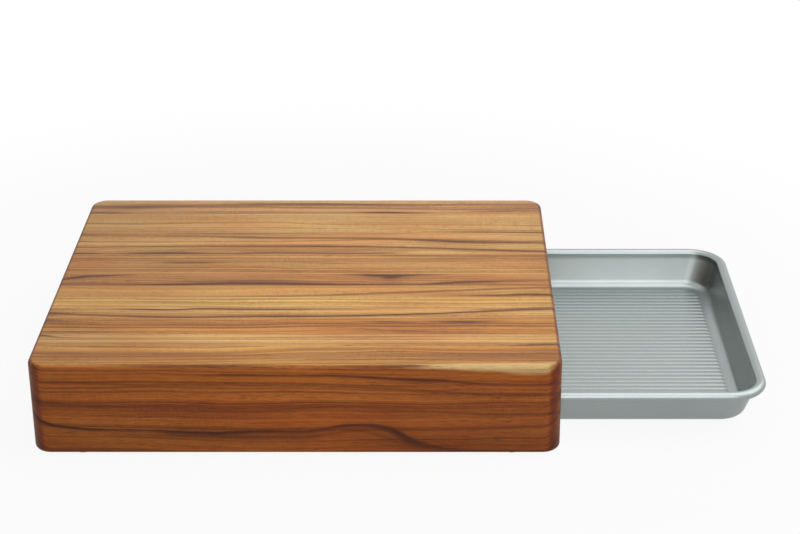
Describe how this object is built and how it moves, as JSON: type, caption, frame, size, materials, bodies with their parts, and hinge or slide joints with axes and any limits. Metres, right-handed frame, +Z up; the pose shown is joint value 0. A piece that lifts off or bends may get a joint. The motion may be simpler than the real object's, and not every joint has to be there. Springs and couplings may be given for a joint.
{
  "type": "cutting board with drawer tray",
  "caption": "Edge-glued teak cutting board on grooved rails, with a ribbed sheet-metal tray that slides out from under it on its rolled rim.",
  "frame": {"origin": "on the surface that the feet stand on, under the middle of the board", "axes": "+X along the board, the way the tray pulls out; +Y from the front rail to the back rail; +Z up"},
  "size_m": [0.4885, 0.282, 0.067],
  "materials": {
    "teak_rail": "oiled",
    "teak_tan": "oiled",
    "teak_russet": "oiled",
    "teak_honey": "oiled",
    "pan_steel": "satin coating",
    "wire_steel": "bare",
    "foot_rubber": "matt"
  },
  "bodies": {
    "board": {"front_rail": "teak_rail", "back_rail": "teak_rail", "top_stave_1": "teak_tan", "top_stave_2": "teak_tan", "top_stave_3": "teak_russet", "top_stave_4": "teak_russet", "top_stave_5": "teak_honey", "top_stave_6": "teak_honey", "top_stave_7": "teak_russet", "top_stave_8": "teak_tan", "tray_stop": "teak_rail", "foot_front_left": "foot_rubber", "foot_front_right": "foot_rubber", "foot_back_left": "foot_rubber", "foot_back_right": "foot_rubber"},
    "tray": {"tray_pan": "pan_steel", "rim_wire": "wire_steel"}
  },
  "joints": [
    {"name": "tray_slide", "type": "slide", "parent": "board", "child": "tray", "axis": [1, 0, 0], "range_m": [-0.1418, 0.2]}
  ]
}
